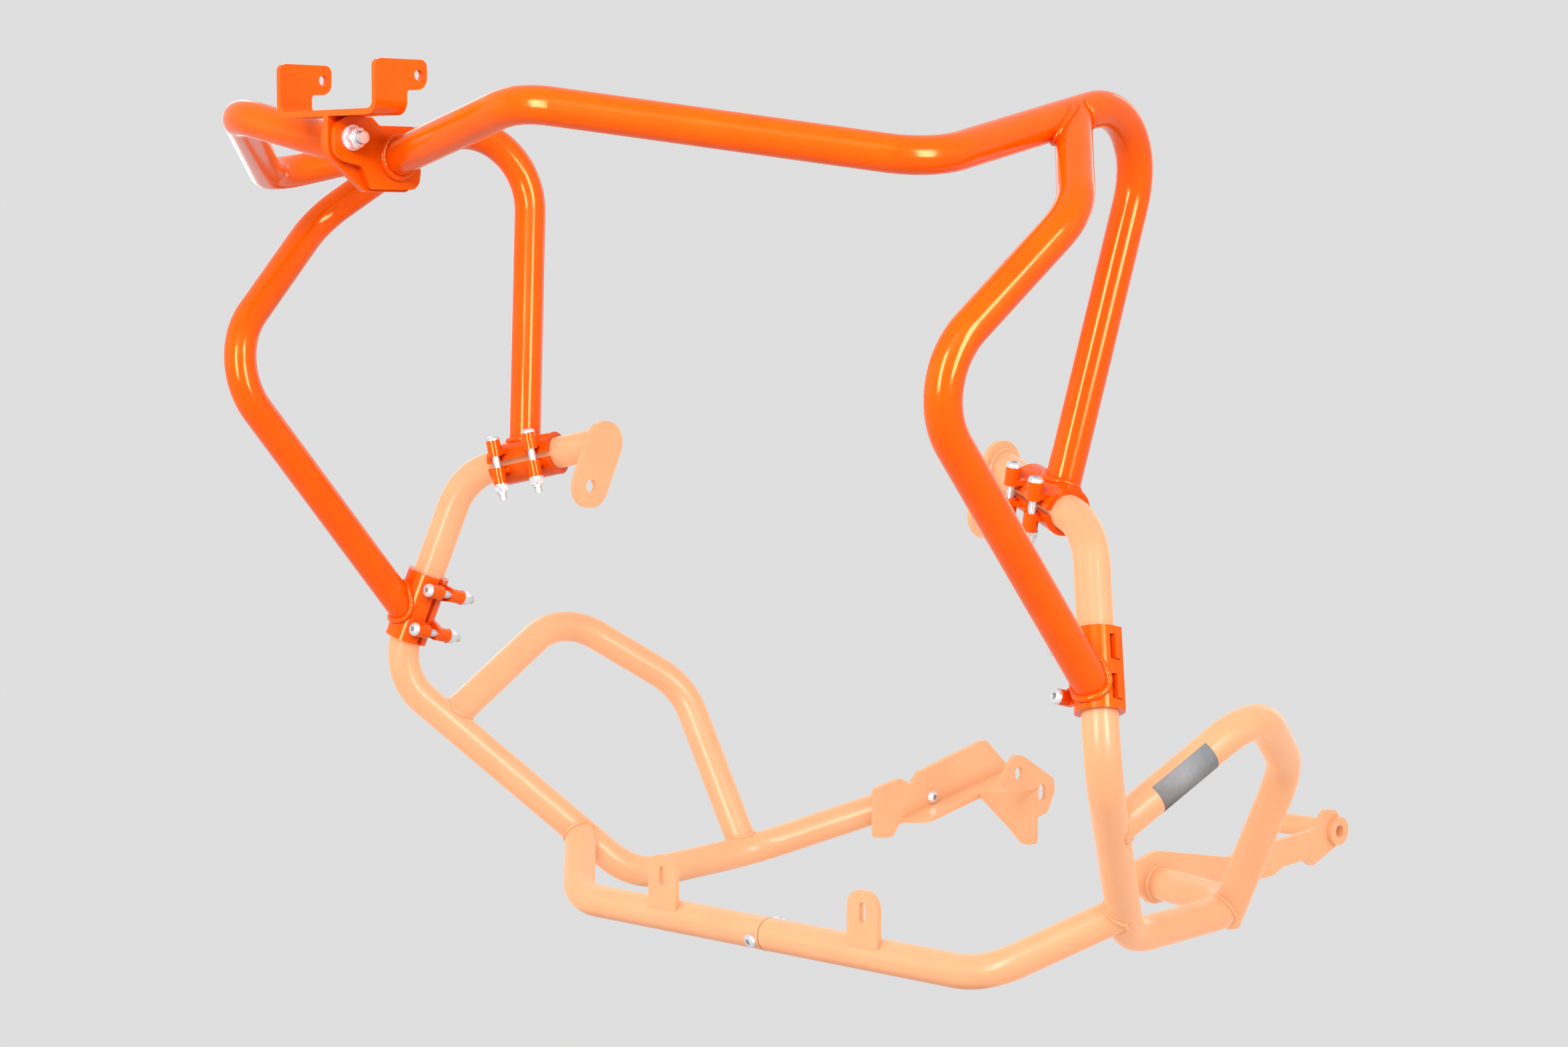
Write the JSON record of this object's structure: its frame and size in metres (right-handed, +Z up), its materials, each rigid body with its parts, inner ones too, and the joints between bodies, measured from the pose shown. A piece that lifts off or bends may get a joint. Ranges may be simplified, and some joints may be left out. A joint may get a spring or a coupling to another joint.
{
  "type": "motorcycle crash bars",
  "caption": "Bent steel tubes that surround a motorcycle's engine: an upper guard clamped onto a lower guard, with brackets that bolt to the frame.",
  "frame": {"origin": "in the middle plane of the motorcycle, on the axis of the holes in the two mount plates", "axes": "+X across the motorcycle, towards the right in the front view, which is the rider's left; +Y towards the rear wheel; +Z up, as mounted. Node names say left and right as seen from the front"},
  "size_m": [0.8148, 0.9075, 0.645],
  "materials": {
    "upper_paint": "glossy powder coat",
    "lower_paint": "glossy powder coat",
    "zinc": "zinc plated"
  },
  "bodies": {
    "root": {"bracket_stem": "upper_paint", "centre_bolt": "zinc", "centre_nut": "zinc", "centre_washers": "zinc", "clamp_bolts": "zinc", "clamp_nuts": "zinc", "clamp_washers": "zinc", "cross_tube_bolt": "zinc", "cross_tube_nut": "zinc", "cross_tube_spigot": "lower_paint", "front_bracket": "upper_paint", "left_branch_tube": "upper_paint", "left_centre_plate": "upper_paint", "left_cross_tab": "lower_paint", "left_cross_tube": "lower_paint", "left_front_clamp_head_half": "upper_paint", "left_front_clamp_nut_half": "upper_paint", "left_loop_tube": "lower_paint", "left_lower_tube": "lower_paint", "left_mount_plate": "lower_paint", "left_rear_bracket": "lower_paint", "left_rear_bracket_bolt": "zinc", "left_rear_bracket_nut": "zinc", "left_rear_clamp_head_half": "upper_paint", "left_rear_clamp_nut_half": "upper_paint", "left_rear_end_plate": "lower_paint", "left_rear_gusset": "lower_paint", "left_upper_tube": "upper_paint", "right_branch_tube": "upper_paint", "right_centre_plate": "upper_paint", "right_cross_tab": "lower_paint", "right_cross_tube": "lower_paint", "right_front_clamp_head_half": "upper_paint", "right_front_clamp_nut_half": "upper_paint", "right_loop_tube": "lower_paint", "right_lower_tube": "lower_paint", "right_mount_plate": "lower_paint", "right_rear_bracket": "lower_paint", "right_rear_clamp_head_half": "upper_paint", "right_rear_clamp_nut_half": "upper_paint", "right_rear_collar": "lower_paint", "right_rear_spacer": "lower_paint", "right_upper_tube": "upper_paint"}
  },
  "joints": []
}
